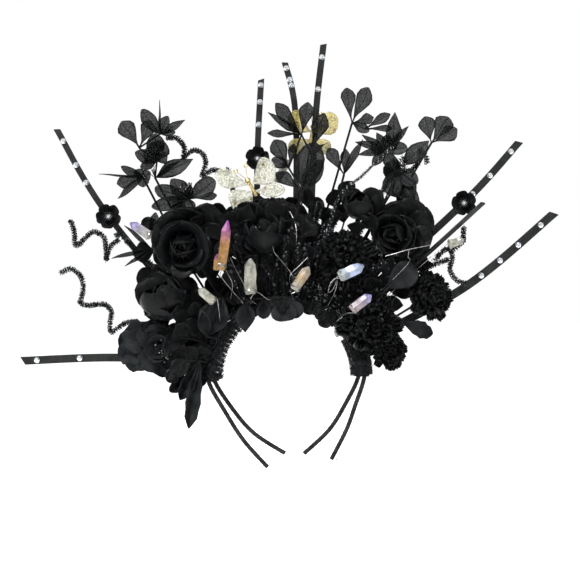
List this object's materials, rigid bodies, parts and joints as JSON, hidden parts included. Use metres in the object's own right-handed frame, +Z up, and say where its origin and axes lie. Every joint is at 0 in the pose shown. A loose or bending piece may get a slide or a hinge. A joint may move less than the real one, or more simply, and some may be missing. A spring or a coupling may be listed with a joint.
{
  "type": "floral crown headpiece",
  "caption": "Dark costume crown on a double headband: satin and organza flowers, stone-set strips, quartz points, tinsel coils and butterflies.",
  "frame": {"origin": "head seat: the middle of the taped bundle's underside, at the top of the hollow for the head", "axes": "+X across the face to the viewer's right, -Y to the front, +Z up"},
  "size_m": [0.4863, 0.0761, 0.3827],
  "materials": {
    "satin": "satin",
    "organza": "sheer matte",
    "ribbon": "satin",
    "tape": "matte",
    "rod": "matte",
    "tinsel": "glitter",
    "quartz": "gloss",
    "amber": "gloss",
    "cream": "sheer glitter",
    "gold": "sheer glitter"
  },
  "bodies": {
    "root": {"rose_left": "satin", "rose_centre": "satin", "rose_right": "satin", "rosebud_left": "satin", "rosebud_right": "satin", "blossom_left": "satin", "carnation_mid": "satin", "carnation_low": "satin", "carnation_under": "satin", "carnation_side": "satin", "leaf_left": "satin", "petals_low": "satin", "leaf_right": "satin", "petal_right": "satin", "leaves_long": "satin", "rosette_left_low": "satin", "rosette_left_high": "satin", "rosette_top": "satin", "rosette_right": "satin", "bloom_high_left": "organza", "sprig_left_mid": "organza", "bloom_left": "organza", "sprig_left_low": "organza", "sprig_top": "organza", "sprig_right_tall": "organza", "sprig_right_dark": "organza", "bloom_right": "organza", "sprig_far_right": "organza", "ray_left_low": "ribbon", "ray_left_high": "ribbon", "ray_top_left": "ribbon", "ray_top_mid": "ribbon", "ray_top_right": "ribbon", "ray_right_high": "ribbon", "ray_right_mid": "ribbon", "ray_right_low": "ribbon", "taped_core": "tape", "wrap_left": "tape", "wrap_right": "tape", "band_front": "rod", "band_rear": "rod", "coil_left_high": "tinsel", "coil_left_low": "tinsel", "coil_top": "tinsel", "coil_right": "tinsel", "coil_crown": "tinsel", "tufted_stems": "tinsel", "tinsel_stem": "tinsel", "crystal_lavender": "quartz", "crystal_tall": "quartz", "crystal_left": "quartz", "crystal_blue": "quartz", "crystal_pink": "quartz", "crystal_far": "quartz", "crystal_low": "quartz", "crystal_back": "quartz", "crystal_amber": "amber", "crystal_mid": "amber", "butterfly_white": "cream", "butterfly_gold": "gold"}
  },
  "joints": []
}
